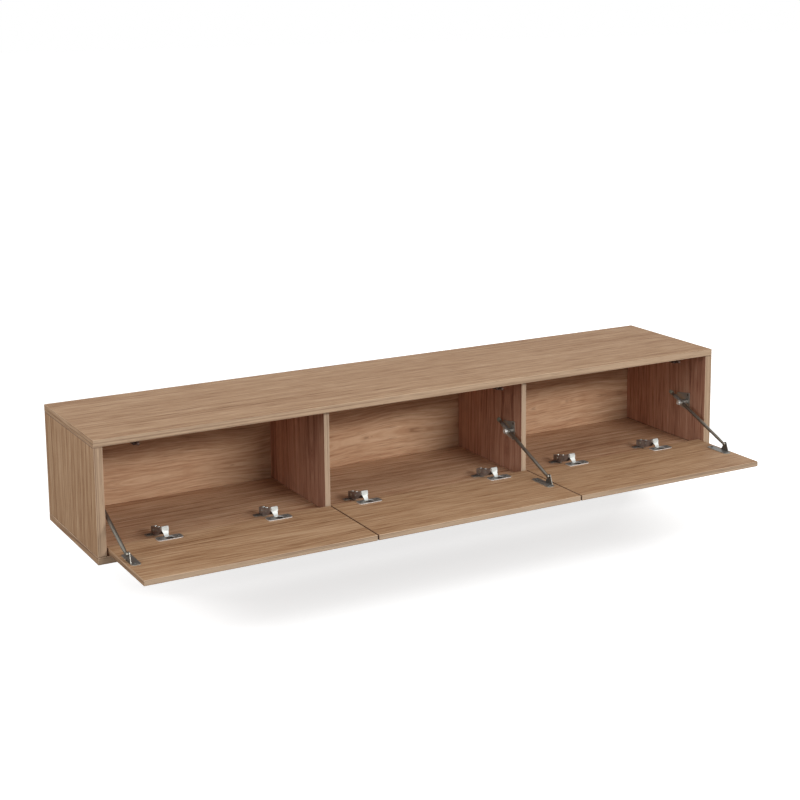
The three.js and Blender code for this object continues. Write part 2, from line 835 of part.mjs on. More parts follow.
for (const bay of bays) {
  const hingePlaces = [bay.centre - bay.hingeSpacing / 2, bay.centre + bay.hingeSpacing / 2];
  makeFlap(`${bay.name}_flap`, bay.centre, hingePlaces);
  makeHinge(`${bay.name}_hinge_a`, hingePlaces[0]);
  makeHinge(`${bay.name}_hinge_b`, hingePlaces[1]);
  const { panelFace, rodSide, rodOffset, plateSide } = bay.stay;
  makeStay(`${bay.name}_stay`, panelFace, rodSide, rodOffset, plateSide);
  makeLatch(`${bay.name}_latch`, bay.centre + bay.latchSide * (flapWidth / 2 - latchFromFlapEnd));
}

furniture.position.set(0, -carcassDepth, -wallRailCentre);

export default furniture;
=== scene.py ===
"""A wall-hung media console in oak veneer with three drop-down flaps, in metres.

X runs along the cabinet, Y from its front to the wall, Z up. The boards and fittings come from the
frame. This script gives them their finishes, stands eased copies in for the sharp fittings, models
the stay rods, sleeves, knobs and flap brackets, and adds the screws, cams, rivets and rod caps.
"""

import json
import math

import bpy
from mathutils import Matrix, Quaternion, Vector


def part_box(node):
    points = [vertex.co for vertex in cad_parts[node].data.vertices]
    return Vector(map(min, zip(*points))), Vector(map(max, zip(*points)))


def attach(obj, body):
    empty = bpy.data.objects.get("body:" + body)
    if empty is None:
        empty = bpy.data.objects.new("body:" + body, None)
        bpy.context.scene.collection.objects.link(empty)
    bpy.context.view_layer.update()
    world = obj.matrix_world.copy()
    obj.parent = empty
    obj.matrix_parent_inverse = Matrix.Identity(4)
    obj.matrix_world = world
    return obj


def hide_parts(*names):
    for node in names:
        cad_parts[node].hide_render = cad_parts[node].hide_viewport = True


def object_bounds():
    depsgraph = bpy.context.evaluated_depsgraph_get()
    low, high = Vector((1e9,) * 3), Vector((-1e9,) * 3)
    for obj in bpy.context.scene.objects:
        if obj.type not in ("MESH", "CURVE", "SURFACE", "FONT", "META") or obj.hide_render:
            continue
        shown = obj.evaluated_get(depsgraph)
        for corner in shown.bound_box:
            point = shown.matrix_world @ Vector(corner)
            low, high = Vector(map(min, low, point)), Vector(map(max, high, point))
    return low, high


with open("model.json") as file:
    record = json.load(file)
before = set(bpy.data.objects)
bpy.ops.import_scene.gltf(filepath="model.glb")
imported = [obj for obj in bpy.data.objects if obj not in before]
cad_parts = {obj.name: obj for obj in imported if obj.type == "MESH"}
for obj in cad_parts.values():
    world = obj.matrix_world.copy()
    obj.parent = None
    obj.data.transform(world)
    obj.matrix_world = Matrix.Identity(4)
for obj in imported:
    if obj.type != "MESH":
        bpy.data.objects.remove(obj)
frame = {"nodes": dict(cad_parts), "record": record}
cad_low, cad_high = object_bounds()

BAYS = ("left", "middle", "right")
HINGES = ("a", "b")

# The camera: its angles in radians, its lens and sensor in millimetres

CAMERA_AT = (-2.00720, -3.89697, 1.12564)
CAMERA_YAW, CAMERA_PITCH, CAMERA_ROLL = 0.52209, 0.18222, -0.00561
FOCAL_LENGTH, SENSOR_WIDTH = 73.551, 36
SHIFT_X, SHIFT_Y = -0.05, -0.15
FARTHEST_SEEN = 60


def make_camera():
    data = bpy.data.cameras.new("camera")
    data.lens = FOCAL_LENGTH
    data.sensor_width = SENSOR_WIDTH
    data.shift_x = SHIFT_X
    data.shift_y = SHIFT_Y
    data.clip_end = FARTHEST_SEEN
    camera = bpy.data.objects.new("camera", data)
    camera.location = CAMERA_AT
    flat = math.cos(CAMERA_PITCH)
    look = Vector((
        math.sin(CAMERA_YAW) * flat,
        math.cos(CAMERA_YAW) * flat,
        -math.sin(CAMERA_PITCH),
    ))
    roll = Quaternion((0, 0, 1), CAMERA_ROLL)
    camera.rotation_euler = (look.to_track_quat("-Z", "Y") @ roll).to_euler()
    bpy.context.scene.collection.objects.link(camera)
    bpy.context.scene.camera = camera


make_camera()

# Joining shader nodes

# A Mix node's two inputs and its result, for each kind of value that it mixes
MIX_SOCKETS = {"FLOAT": (2, 3, 0), "VECTOR": (4, 5, 1), "RGBA": (6, 7, 2)}


class Wiring:
    """Adds nodes to one shader tree; a value is a socket to join or a constant to set."""

    def __init__(self, tree):
        self.tree = tree

    def put(self, socket, value):
        if isinstance(value, bpy.types.NodeSocket):
            self.tree.links.new(value, socket)
        else:
            socket.default_value = value

    def number(self, operation, *values):
        made = self.tree.nodes.new("ShaderNodeMath")
        made.operation = operation
        for socket, value in zip(made.inputs, values):
            self.put(socket, value)
        return made.outputs[0]

    def vector(self, operation, *values):
        made = self.tree.nodes.new("ShaderNodeVectorMath")
        made.operation = operation
        for socket, value in zip(made.inputs, values):
            self.put(socket, value)
        return made.outputs["Value" if operation in ("LENGTH", "DOT_PRODUCT") else "Vector"]

    def parts(self, vector):
        made = self.tree.nodes.new("ShaderNodeSeparateXYZ")
        self.put(made.inputs[0], vector)
        return made.outputs

    def together(self, x, y, z):
        made = self.tree.nodes.new("ShaderNodeCombineXYZ")
        for socket, value in zip(made.inputs, (x, y, z)):
            self.put(socket, value)
        return made.outputs[0]

    def noise(self, vector, scale=1.0, detail=2.0, roughness=0.5):
        made = self.tree.nodes.new("ShaderNodeTexNoise")
        self.put(made.inputs["Vector"], vector)
        made.inputs["Scale"].default_value = scale
        made.inputs["Detail"].default_value = detail
        made.inputs["Roughness"].default_value = roughness
        return made.outputs["Fac"]

    def cells(self, vector, scale, feature="F1", output="Color"):
        made = self.tree.nodes.new("ShaderNodeTexVoronoi")
        made.feature = feature
        self.put(made.inputs["Vector"], vector)
        made.inputs["Scale"].default_value = scale
        return made.outputs[output]

    def step(self, value, low, high, start=0.0, end=1.0):
        """Goes softly from start to end as the value goes from low to high."""
        made = self.tree.nodes.new("ShaderNodeMapRange")
        made.interpolation_type = "SMOOTHSTEP"
        self.put(made.inputs["Value"], value)
        names = ("From Min", "From Max", "To Min", "To Max")
        for name, number in zip(names, (low, high, start, end)):
            self.put(made.inputs[name], number)
        return made.outputs["Result"]

    def mix(self, kind, factor, first, second):
        made = self.tree.nodes.new("ShaderNodeMix")
        made.data_type = kind
        first_at, second_at, result_at = MIX_SOCKETS[kind]
        self.put(made.inputs[0], factor)
        self.put(made.inputs[first_at], first)
        self.put(made.inputs[second_at], second)
        return made.outputs[result_at]

    def tint(self, colour, mask, amount, tint):
        """The colour, tinted by this amount wherever the mask is one; it lays stains, and painted
        light and shade too.
        """
        return self.mix("RGBA", self.number("MULTIPLY", mask, amount), colour, tint)

    def ramp(self, value, stops):
        made = self.tree.nodes.new("ShaderNodeValToRGB")
        self.put(made.inputs[0], value)
        points = made.color_ramp.elements
        while len(points) < len(stops):
            points.new(0.5)
        for point, (place, colour) in zip(points, stops):
            point.position = place
            point.color = colour
        return made.outputs["Color"]

    def group(self, group, **values):
        """A node group; a value's name is its socket's in small letters."""
        made = self.tree.nodes.new("ShaderNodeGroup")
        made.node_tree = group
        for name, value in values.items():
            self.put(made.inputs[name.capitalize()], value)
        return made.outputs


def new_group(name, inputs, outputs):
    """A node group with these sockets: the group, its wiring, what it is given, what it gives."""
    group = bpy.data.node_groups.new(name, "ShaderNodeTree")
    for label, kind, value in inputs:
        made = group.interface.new_socket(
            name=label, in_out="INPUT", socket_type="NodeSocket" + kind,
        )
        if value is not None:
            made.default_value = value
    for label, kind in outputs:
        group.interface.new_socket(name=label, in_out="OUTPUT", socket_type="NodeSocket" + kind)
    given = group.nodes.new("NodeGroupInput").outputs
    out = group.nodes.new("NodeGroupOutput").inputs
    return group, Wiring(group), given, out


def srgb(red, green, blue):
    """A colour written as the eye sees it, 0 to 255, turned into linear light."""
    def linear(value):
        value /= 255
        return value / 12.92 if value <= 0.04045 else ((value + 0.055) / 1.055) ** 2.4
    return (linear(red), linear(green), linear(blue), 1.0)


# Shared effects

# A face looks along an axis when its normal's share along it is more than this
LOOKING = 0.6

# How finely a pattern repeats along X, Y and Z: the band's lines, and metal drawn along an axis
BAND_LINES = (1.5, 260, 260)
ALONG_X, ALONG_Y = (60, 900, 900), (900, 60, 900)

# Distances from a board's arrises: where the painted highlight and wear end and are full, and where
# the glue line runs
HIGHLIGHT_AND_WEAR_FROM, HIGHLIGHT_AND_WEAR_TO = 0.0016, 0.0004
GLUE_LINE = 0.0022
GLUE_FROM, GLUE_TO = 0.0004, 0.0001

# Distances from a board's ends between which the line of its joint grows
JOINT_FROM, JOINT_TO = 0.0026, 0.0012


def make_board_group():
    """Where a point lies on a board: the grain's own axes, the edge bands, lines and corners.
    Vector and Normal come turned so that X is the board's length, Y its width, Z its thickness."""
    group, wire, given, out = new_group(
        "board_places",
        [
            ("Vector", "Vector", None),
            ("Normal", "Vector", None),
            ("Low", "Vector", None),
            ("High", "Vector", None),
        ],
        [
            ("Grain", "Vector"),
            ("Band", "Float"),
            ("Line", "Float"),
            ("Arris", "Float"),
            ("Seam", "Float"),
            ("Joint", "Float"),
        ],
    )
    place = wire.parts(given["Vector"])
    facing = wire.parts(wire.vector("ABSOLUTE", given["Normal"]))
    crosscut = wire.number("GREATER_THAN", facing[0], LOOKING)
    turned = wire.together(place[1], place[2], place[0])
    grain = wire.mix("VECTOR", crosscut, given["Vector"], turned)
    band = wire.number("LESS_THAN", facing[2], LOOKING)
    wire.put(out["Grain"], grain)
    wire.put(out["Band"], band)
    line = wire.noise(wire.vector("MULTIPLY", grain, BAND_LINES), detail=2)
    wire.put(out["Line"], wire.number("MULTIPLY", band, wire.step(line, 0.50, 0.62)))

    below = wire.vector("SUBTRACT", given["Vector"], given["Low"])
    above = wire.vector("SUBTRACT", given["High"], given["Vector"])
    near = wire.parts(wire.vector("MINIMUM", below, above))
    smaller = wire.number("MINIMUM", near[0], near[1])
    larger = wire.number("MAXIMUM", near[0], near[1])
    from_arris = wire.number("MAXIMUM", smaller, wire.number("MINIMUM", larger, near[2]))
    # Arris: the strip near the edges that takes the painted highlight and wear
    wire.put(out["Arris"], wire.step(from_arris, HIGHLIGHT_AND_WEAR_FROM, HIGHLIGHT_AND_WEAR_TO))
    off_seam = wire.number("ABSOLUTE", wire.number("SUBTRACT", from_arris, GLUE_LINE))
    wire.put(out["Seam"], wire.step(off_seam, GLUE_FROM, GLUE_TO))
    wire.put(out["Joint"], wire.step(near[0], JOINT_FROM, JOINT_TO))
    return group


# How finely each layer of the grain repeats, along and across the grain
SWAY, WOBBLE = (1.7, 4), (14, 40)
BROAD, STREAK, FIBRE, PORE = (0.9, 14), (2.4, 125), (12, 290), (18, 900)
WOBBLE_WIDTH = 0.004
SEED_SHIFT = (7.31, 3.17, 5.03)


def make_oak_group():
    """Oak veneer: broad bands, streaks, fibres, pores and a plain-sawn leaf's arched figure."""
    group, wire, given, out = new_group(
        "oak_veneer",
        [
            ("Vector", "Vector", None),
            ("Seed", "Float", 0.0),
            ("Broad", "Float", 0.5),
            ("Streak", "Float", 0.6),
            ("Fibre", "Float", 0.4),
            ("Centre", "Float", 1.0),
            ("Arch", "Float", 0.0),
            ("Rate", "Float", 2.0),
            ("Wander", "Float", 0.02),
        ],
        [("Tone", "Float"), ("Pore", "Float"), ("Height", "Float")],
    )
    shift = wire.vector("SCALE", SEED_SHIFT)
    wire.put(shift.node.inputs["Scale"], given["Seed"])
    moved = wire.vector("ADD", given["Vector"], shift)

    def layer(vector, fineness, **look):
        along, across = fineness
        return wire.noise(wire.vector("MULTIPLY", vector, (along, across, across)), **look)

    # The grain lines bend round a heart line that comes and goes under the surface
    place = wire.parts(given["Vector"])
    start = wire.parts(moved)
    sway = layer(moved, SWAY, detail=1)
    wobble = layer(moved, WOBBLE, detail=2)
    across = wire.number("SUBTRACT", place[1], given["Centre"])
    sway = wire.number("SUBTRACT", sway, 0.5)
    across = wire.number("MULTIPLY_ADD", sway, given["Wander"], across)
    wobble = wire.number("SUBTRACT", wobble, 0.5)
    across = wire.number("MULTIPLY_ADD", wobble, WOBBLE_WIDTH, across)
    along = wire.together(wire.number("MULTIPLY", start[0], given["Rate"]), given["Seed"], 0.0)
    depth = wire.number("MULTIPLY", wire.noise(along, detail=1), given["Arch"])
    radius = wire.vector("LENGTH", wire.together(across, depth, 0.0))
    radius = wire.number("ADD", radius, given["Seed"])
    bent = wire.together(start[0], radius, start[2])

    broad = layer(bent, BROAD, detail=4, roughness=0.62)
    streak = layer(bent, STREAK, detail=4, roughness=0.68)
    fibre = layer(bent, FIBRE, detail=3, roughness=0.65)
    pore = wire.step(layer(bent, PORE, detail=2), 0.60, 0.72)

    tone = 0.5
    for value, amount in ((broad, "Broad"), (streak, "Streak"), (fibre, "Fibre")):
        off = wire.number("SUBTRACT", value, 0.5)
        tone = wire.number("MULTIPLY_ADD", off, given[amount], tone)
    wire.put(out["Tone"], tone)
    wire.put(out["Pore"], pore)
    raised_fibre = wire.number("MULTIPLY", fibre, 0.6)
    wire.put(out["Height"], wire.number("SUBTRACT", raised_fibre, pore))
    return group


CLOUD_SCALE, PIT_SCALE = 55, 900


def make_metal_group():
    """A metal skin's unevenness: drawn lines along one axis, cloudy patches and tiny pits."""
    group, wire, given, out = new_group(
        "metal_skin",
        [("Vector", "Vector", None), ("Drawn", "Vector", ALONG_X)],
        [("Cloud", "Float"), ("Line", "Float"), ("Height", "Float")],
    )
    cloud = wire.noise(given["Vector"], scale=CLOUD_SCALE, detail=3)
    line = wire.noise(wire.vector("MULTIPLY", given["Vector"], given["Drawn"]), detail=2)
    pit = wire.step(wire.cells(given["Vector"], PIT_SCALE, output="Distance"), 0.05, 0.22)
    pit = wire.number("MULTIPLY", pit, 0.3)
    wire.put(out["Cloud"], cloud)
    wire.put(out["Line"], line)
    wire.put(out["Height"], wire.number("MULTIPLY_ADD", line, 0.4, pit))
    return group


CHIP_SCALE, CHIP_LAYER_SCALE = 420, 160


def make_chip_group():
    """Pressed wood chips, seen where a board's rear edge is left raw."""
    group, wire, given, out = new_group(
        "chipboard",
        [("Vector", "Vector", None)],
        [("Tone", "Float"), ("Height", "Float")],
    )
    flat = wire.vector("MULTIPLY", given["Vector"], (0.5, 1, 1))
    chip = wire.parts(wire.cells(flat, CHIP_SCALE))[0]
    gap = wire.step(wire.cells(flat, CHIP_SCALE, "DISTANCE_TO_EDGE", "Distance"), 0.0, 0.12)
    layer = wire.noise(flat, scale=CHIP_LAYER_SCALE, detail=2)
    tone = wire.number("MULTIPLY_ADD", layer, 0.5, chip)
    wire.put(out["Tone"], wire.number("MULTIPLY", tone, gap))
    wire.put(out["Height"], wire.number("MULTIPLY", chip, gap))
    return group


BOARD_PLACES = make_board_group()
OAK_VENEER = make_oak_group()
METAL_SKIN = make_metal_group()
CHIPBOARD = make_chip_group()

# Materials

OUTER_OAK = [
    (0.15, srgb(110, 76, 50)),
    (0.38, srgb(148, 112, 81)),
    (0.52, srgb(164, 130, 98)),
    (0.80, srgb(185, 153, 122)),
]
# Paler copies of the oak's tones for faces inside the cabinet: painted light standing in for the
# light that reaches in there
PAINTED_LIGHT_OAK = [
    (0.15, srgb(134, 93, 67)),
    (0.38, srgb(172, 132, 101)),
    (0.52, srgb(188, 151, 119)),
    (0.80, srgb(210, 177, 146)),
]
# Paler, redder copies for the insides of the top, ends and dividers: painted light standing in for
# light bounced between the oak faces
PAINTED_BOUNCE_OAK = [
    (0.15, srgb(133, 86, 65)),
    (0.38, srgb(173, 123, 100)),
    (0.52, srgb(191, 143, 118)),
    (0.80, srgb(213, 169, 144)),
]
RAW_CHIPS = [(0.1, srgb(142, 114, 82)), (0.9, srgb(206, 180, 144))]
BAND_LIGHT = srgb(180, 158, 135)
WHITE, BLACK = (1, 1, 1, 1), (0, 0, 0, 1)

# Stains on the veneer, with the painted arris highlight and the painted gap shade, and how strong
# they are;
# the lines are stronger on faces that look sideways
SEAM_COLOUR, SEAM_AMOUNT = srgb(96, 70, 50), 0.30
LINE_AMOUNT, SIDEWAYS_LINE_AMOUNT = 0.40, 0.60
PORE_COLOUR, PORE_AMOUNT = srgb(92, 62, 42), 0.40
# A painted highlight on the arrises, standing in for light caught by eased edges, with some wear
ARRIS_HIGHLIGHT_AND_WEAR, ARRIS_HIGHLIGHT_AND_WEAR_AMOUNT = srgb(205, 182, 158), 0.22
# Painted shade for a flap's left edge, standing in for the shadow in the gap beside the next flap
SHADE_COLOUR, SHADE_AMOUNT = srgb(76, 42, 24), 0.65

# The share of a band's pale tone on faces that look sideways
SIDEWAYS_BAND = 0.25

# Painted shade on the uprights' inner veneer: full at the first place, by the open front, and gone
# at the second, towards the wall
FRONT_SHADE_FULL, FRONT_SHADE_NONE = -0.36, -0.10


def new_material(name, roughness, metallic=0.0):
    material = bpy.data.materials.new(name)
    material.use_nodes = True
    tree = material.node_tree
    shader = tree.nodes["Principled BSDF"]
    shader.inputs["Roughness"].default_value = roughness
    shader.inputs["Metallic"].default_value = metallic
    return material, Wiring(tree), shader.inputs


def raised(wire, inputs, height, strength, distance):
    bump = wire.tree.nodes.new("ShaderNodeBump")
    bump.inputs["Strength"].default_value = strength
    bump.inputs["Distance"].default_value = distance
    wire.put(bump.inputs["Height"], height)
    wire.put(inputs["Normal"], bump.outputs["Normal"])


def board_axes(vector, order):
    return [vector[i] for i in order]


def make_oak(
    name, piece, order, seed, tones=OUTER_OAK, inside=None, shadow_edge=False,
    band=0.6, raw_rear=False, joint=0.0, sunned=0.0, **grain,
):
    """Oak veneer for one board. Order says which of its axes are length, width and thickness.
    Inside is the way its inner face looks, or None for both faces, and the paler tones painted
    there as light that reaches inside the cabinet. Front_shade is how much painted shade darkens
    that inner veneer at the open front. Shadow_edge paints shade on the left edge for the shadow
    in the gap beside the next flap, band is how pale the edge bands are, joint how dark the lines
    at the ends."""
    material, wire, inputs = new_material(name, 0.6)
    inputs["Specular IOR Level"].default_value = 0.2
    source = wire.tree.nodes.new("ShaderNodeTexCoord").outputs
    place = wire.parts(source["Object"])
    facing = wire.parts(source["Normal"])
    low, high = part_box(piece)
    board = wire.group(
        BOARD_PLACES,
        vector=wire.together(*board_axes(place, order)),
        normal=wire.together(*board_axes(facing, order)),
        low=board_axes(low, order),
        high=board_axes(high, order),
    )
    oak = wire.group(OAK_VENEER, vector=board["Grain"], seed=seed, **grain)
    colour = wire.ramp(oak["Tone"], tones)

    if inside:
        inner_way, inner_tones = inside
        lined = wire.number("SUBTRACT", 1.0, board["Band"])
        if inner_way:
            towards = wire.vector("DOT_PRODUCT", source["Normal"], inner_way)
            lined = wire.number("GREATER_THAN", towards, LOOKING)
        # The inner faces take the paler painted-light tones
        lit_inside = wire.ramp(oak["Tone"], inner_tones)
        # Painted shade on the inner veneer, fullest at the open front
        if sunned:
            shade = wire.step(place[1], FRONT_SHADE_FULL, FRONT_SHADE_NONE, start=sunned, end=0.0)
            lit_inside = wire.mix("RGBA", shade, lit_inside, BLACK)
        colour = wire.mix("RGBA", lined, colour, lit_inside)

    sideways = wire.number("GREATER_THAN", wire.number("ABSOLUTE", facing[0]), LOOKING)
    colour = wire.tint(
        colour, board["Band"], wire.mix("FLOAT", sideways, band, band * SIDEWAYS_BAND), BAND_LIGHT,
    )
    line_amount = wire.mix("FLOAT", sideways, LINE_AMOUNT, SIDEWAYS_LINE_AMOUNT)
    colour = wire.tint(colour, board["Line"], line_amount, SEAM_COLOUR)
    if joint:
        colour = wire.tint(colour, board["Joint"], joint, SEAM_COLOUR)
    colour = wire.tint(colour, oak["Pore"], PORE_AMOUNT, PORE_COLOUR)
    colour = wire.tint(colour, board["Seam"], SEAM_AMOUNT, SEAM_COLOUR)
    # Painted highlight and wear along the arrises
    colour = wire.tint(colour, board["Arris"], ARRIS_HIGHLIGHT_AND_WEAR_AMOUNT, ARRIS_HIGHLIGHT_AND_WEAR)
    # Painted shade on the left edge, for the shadow in the gap beside the next flap
    if shadow_edge:
        left = wire.number("LESS_THAN", facing[0], -LOOKING)
        colour = wire.tint(colour, left, SHADE_AMOUNT, SHADE_COLOUR)

    height = oak["Height"]
    if raw_rear:
        chips = wire.group(CHIPBOARD, vector=source["Object"])
        rear = wire.number("GREATER_THAN", facing[1], LOOKING)
        colour = wire.mix("RGBA", rear, colour, wire.ramp(chips["Tone"], RAW_CHIPS))
        height = wire.mix("FLOAT", rear, height, chips["Height"])
    wire.put(inputs["Base Color"], colour)
    rough = wire.number("MULTIPLY_ADD", oak["Tone"], -0.12, 0.66)
    wire.put(inputs["Roughness"], wire.number("MULTIPLY_ADD", oak["Pore"], 0.12, rough))
    raised(wire, inputs, height, 0.25, 0.0003)
    return material


# How much a drawn line changes the roughness, and how softly the painted shade inside a cup starts
LINE_SPREAD = 0.10
HOLLOW_SOFTNESS = 0.0006


def make_metal(name, colour, dark, roughness, drawn, metallic=1.0, top=None, hollow_shade=None):
    """Plated or bare metal, drawn along ALONG_X or ALONG_Y. Top is a darker tone painted on the
    faces that look up, if they have one, as painted shade for the dark they mirror, and
    hollow_shade is a height and the painted shade of all that is below it."""
    material, wire, inputs = new_material(name, roughness, metallic)
    source = wire.tree.nodes.new("ShaderNodeTexCoord").outputs
    skin = wire.group(METAL_SKIN, vector=source["Object"], drawn=drawn)
    tone = wire.mix("RGBA", skin["Cloud"], dark, colour)
    # Painted shade on the faces that look up, for the dark they mirror
    if top:
        upwards = wire.step(wire.parts(source["Normal"])[2], 0.55, 0.85)
        tone = wire.mix("RGBA", upwards, tone, top)
    # Painted shade inside the cup, below its flange
    if hollow_shade:
        level, inner_tone = hollow_shade
        height = wire.parts(source["Object"])[2]
        tone = wire.mix("RGBA", wire.step(height, level - HOLLOW_SOFTNESS, level), inner_tone, tone)
    wire.put(inputs["Base Color"], tone)
    rough = wire.number("MULTIPLY_ADD", skin["Line"], LINE_SPREAD, roughness - LINE_SPREAD / 2)
    wire.put(inputs["Roughness"], rough)
    raised(wire, inputs, skin["Height"], 0.12, 0.0001)
    return material


PLASTIC_GRAIN_SCALE, PLASTIC_CLOUD_SCALE = 1500, 90
PLASTIC_SPREAD = 0.14


def make_plastic(name, colour, dark, roughness):
    material, wire, inputs = new_material(name, roughness)
    source = wire.tree.nodes.new("ShaderNodeTexCoord").outputs
    grain = wire.noise(source["Object"], scale=PLASTIC_GRAIN_SCALE, detail=2)
    cloud = wire.noise(source["Object"], scale=PLASTIC_CLOUD_SCALE, detail=2)
    wire.put(inputs["Base Color"], wire.mix("RGBA", cloud, dark, colour))
    rough = wire.number("MULTIPLY_ADD", grain, PLASTIC_SPREAD, roughness - PLASTIC_SPREAD / 2)
    wire.put(inputs["Roughness"], rough)
    raised(wire, inputs, grain, 0.2, 0.0001)
    return material


# A board's length, width and thickness as axes, by the way it stands
LENGTHWISE, UPRIGHT, FACING_FRONT = (0, 1, 2), (2, 1, 0), (0, 2, 1)
UP, DOWN, LEFT, RIGHT = (0, 0, 1), (0, 0, -1), (-1, 0, 0), (1, 0, 0)


def finish_board(name, order, seed, **more):
    finish = make_oak("oak_" + name, name, order, seed, **more)
    frame["nodes"][name].data.materials[0] = finish


def finish_boards():
    plain = dict(broad=0.36, streak=0.95, fibre=1.15, centre=0.6, arch=0.05, wander=0.04)
    lower = dict(plain, streak=1.4)
    upright = dict(plain, broad=0.6, fibre=1.0)
    left_end = dict(upright, broad=0.35, streak=1.5)
    arched = dict(
        upright, streak=1.1, fibre=0.7, centre=-0.270, arch=0.06, rate=3.0, band=0.9,
    )
    figured = dict(
        broad=0.40, streak=0.75, fibre=0.8, centre=-0.125, arch=0.03, rate=2.4, wander=0.11,
    )
    raw = dict(raw_rear=True)
    raw_and_jointed = dict(raw, joint=0.75)
    finish_board("top_panel", LENGTHWISE, 1.0, inside=(DOWN, PAINTED_BOUNCE_OAK), **raw, **plain)
    finish_board("bottom_panel", LENGTHWISE, 2.0, inside=(UP, PAINTED_LIGHT_OAK), **raw, **lower)
    finish_board(
        "left_end_panel", UPRIGHT, 3.0, inside=(RIGHT, PAINTED_BOUNCE_OAK), **raw_and_jointed, **left_end,
    )
    finish_board(
        "right_end_panel", UPRIGHT, 4.0, inside=(LEFT, PAINTED_BOUNCE_OAK), sunned=0.20,
        **raw_and_jointed, **upright,
    )
    finish_board("left_divider", UPRIGHT, 5.0, inside=(None, PAINTED_BOUNCE_OAK), sunned=0.34, **arched)
    finish_board("right_divider", UPRIGHT, 6.0, inside=(None, PAINTED_BOUNCE_OAK), sunned=0.24, **arched)
    finish_board("back_panel", FACING_FRONT, 7.0, tones=PAINTED_LIGHT_OAK, band=0.0, **figured)
    for bay, seed in zip(BAYS, (8.0, 9.0, 10.0)):
        # The middle and right flaps get the painted gap shade on their left edges
        shaded_gap_edge = bay != "left"
        finish_board(
            bay + "_flap", LENGTHWISE, seed, shadow_edge=shaded_gap_edge, band=0.7, **plain,
        )


FLANGE_THICKNESS = 0.0018
CUP_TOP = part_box("left_hinge_a_cup")[1].z

# Each top is a painted shade on the faces that look up
NICKEL = make_metal(
    "nickel_plate", srgb(176, 175, 168), srgb(144, 143, 137), 0.42, ALONG_X, metallic=0.6,
    top=srgb(118, 117, 113),
)
BRIGHT = make_metal("bright_nickel", srgb(198, 202, 198), srgb(176, 180, 176), 0.30, ALONG_X)
ARM_NICKEL = make_metal(
    "arm_nickel", srgb(196, 189, 185), srgb(80, 74, 74), 0.42, ALONG_X, metallic=0.6,
    top=srgb(118, 114, 111),
)
# The cup's inside gets a painted shade below the flange
CUP_NICKEL = make_metal(
    "cup_nickel", srgb(226, 222, 219), srgb(204, 200, 197), 0.42, ALONG_X, metallic=0.4,
    top=srgb(118, 117, 113), hollow_shade=(CUP_TOP - FLANGE_THICKNESS, srgb(88, 80, 74)),
)
LINK_NICKEL = make_metal(
    "link_nickel", srgb(212, 215, 211), srgb(198, 201, 197), 0.58, ALONG_X, metallic=0.4,
    top=srgb(84, 84, 80),
)
ROD_STEEL = make_metal("drawn_rod", srgb(144, 140, 131), srgb(118, 114, 106), 0.42, ALONG_Y)
# A darker copy of the nickel for the flap bracket's ear: painted shade
SHADED_EAR_NICKEL = make_metal(
    "shaded_ear_nickel", srgb(128, 124, 117), srgb(100, 97, 91), 0.42, ALONG_Y, metallic=0.8,
)
KNOB_NICKEL = make_metal(
    "knob_nickel", srgb(206, 209, 207), srgb(188, 191, 189), 0.30, ALONG_X, metallic=0.6,
)
SCREW_STEEL = make_metal(
    "screw_steel", srgb(112, 110, 106), srgb(86, 84, 81), 0.58, ALONG_X, metallic=0.8,
)
ZINC = make_metal("zinc_steel", srgb(168, 172, 176), srgb(132, 137, 142), 0.46, ALONG_X)
PLASTIC = make_plastic("brown_plastic", srgb(80, 56, 44), srgb(66, 46, 36), 0.65)
CAP_PLASTIC = make_plastic("green_grey_plastic", srgb(126, 128, 112), srgb(108, 110, 96), 0.5)

FITTING_FINISHES = {
    "_link": LINK_NICKEL, "_knob": BRIGHT, "_rod": ROD_STEEL, "_rail": ZINC,
    "_cup": CUP_NICKEL, "_arm": ARM_NICKEL, "_mounting_plate": NICKEL, "_bracket": NICKEL,
    "_sleeve": NICKEL, "_housing": PLASTIC, "_plunger": PLASTIC,
}


def finish_fittings():
    for name, piece in frame["nodes"].items():
        for ending, finish in FITTING_FINISHES.items():
            if name.endswith(ending):
                piece.data.materials[0] = finish


finish_boards()
finish_fittings()

# Modelling by hand

SMOOTH_ANGLE = math.radians(35)
RIVET_SMOOTH_ANGLE = math.radians(60)
EASED_ANGLE = math.radians(40)

# The share of a face's normal along an axis: quite, nearly or hardly at all
SQUARELY, NEARLY, HARDLY = 0.99, 0.9, 0.1


def activate(piece):
    """Selects this piece alone, to be worked on."""
    bpy.ops.object.select_all(action="DESELECT")
    piece.select_set(True)
    bpy.context.view_layer.objects.active = piece


def pick_nothing(kind):
    """Leaves the mesh that is worked on with none of its faces or edges picked."""
    bpy.ops.object.mode_set(mode="EDIT")
    bpy.ops.mesh.select_mode(type=kind)
    bpy.ops.mesh.select_all(action="DESELECT")
    bpy.ops.object.mode_set(mode="OBJECT")


def pick_faces(piece, test):
    """Opens edit mode with just the faces picked that pass the test."""
    pick_nothing("FACE")
    for face in piece.data.polygons:
        face.select = test(face)
    bpy.ops.object.mode_set(mode="EDIT")


def pick_edges(piece, test):
    """Opens edit mode with just the edges picked whose two ends pass the test."""
    pick_nothing("EDGE")
    points = piece.data.vertices
    for edge in piece.data.edges:
        edge.select = test(*(points[end].co for end in edge.vertices))
    bpy.ops.object.mode_set(mode="EDIT")


def close_edit():
    bpy.ops.object.mode_set(mode="OBJECT")


def round_faces(piece, test, width, segments):
    """Bevels the picked faces all round."""
    pick_faces(piece, test)
    bpy.ops.mesh.bevel(offset=width, segments=segments)
    close_edit()


def looks_up(face):
    return face.normal.z > NEARLY


def looks_down(face):
    return face.normal.z < -NEARLY


def is_an_end(face):
    return abs(face.normal.z) > NEARLY


